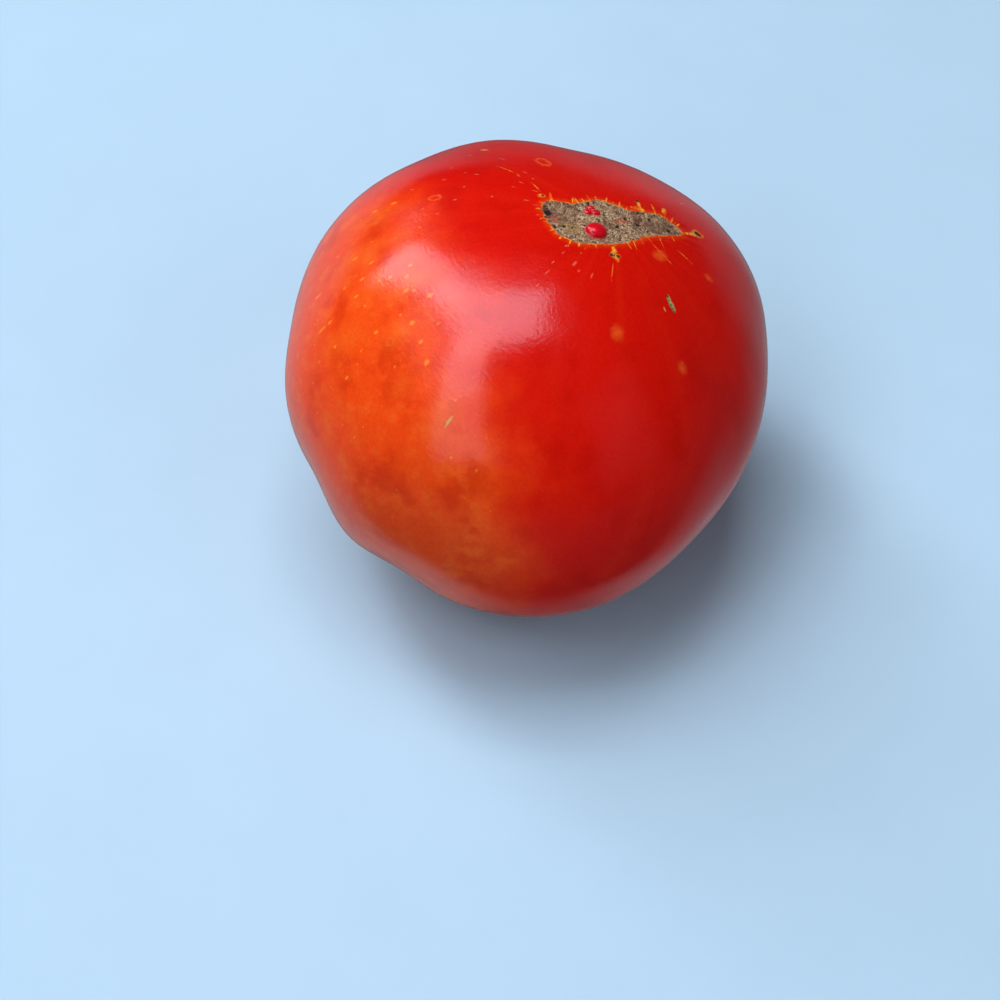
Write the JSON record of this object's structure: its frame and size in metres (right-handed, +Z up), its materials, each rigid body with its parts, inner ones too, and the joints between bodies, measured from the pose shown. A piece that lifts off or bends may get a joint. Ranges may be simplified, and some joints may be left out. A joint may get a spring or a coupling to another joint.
{
  "type": "beefsteak tomato",
  "caption": "Whole ripe beefsteak tomato, unevenly lobed and flattened, lying blossom end up on a small flat spot, with a corky blossom scar on top and a stem hollow below.",
  "frame": {"origin": "middle of the bounding box, on the surface that the fruit rests on", "axes": "+Z up, with the blossom end up and leaning to +X; -Y is the side that the picture shows, and the stem hollow is low on the -X side"},
  "size_m": [0.1044, 0.1086, 0.0887],
  "materials": {
    "ripe_skin": "gloss"
  },
  "bodies": {
    "root": {"tomato_fruit": "ripe_skin"}
  },
  "joints": []
}
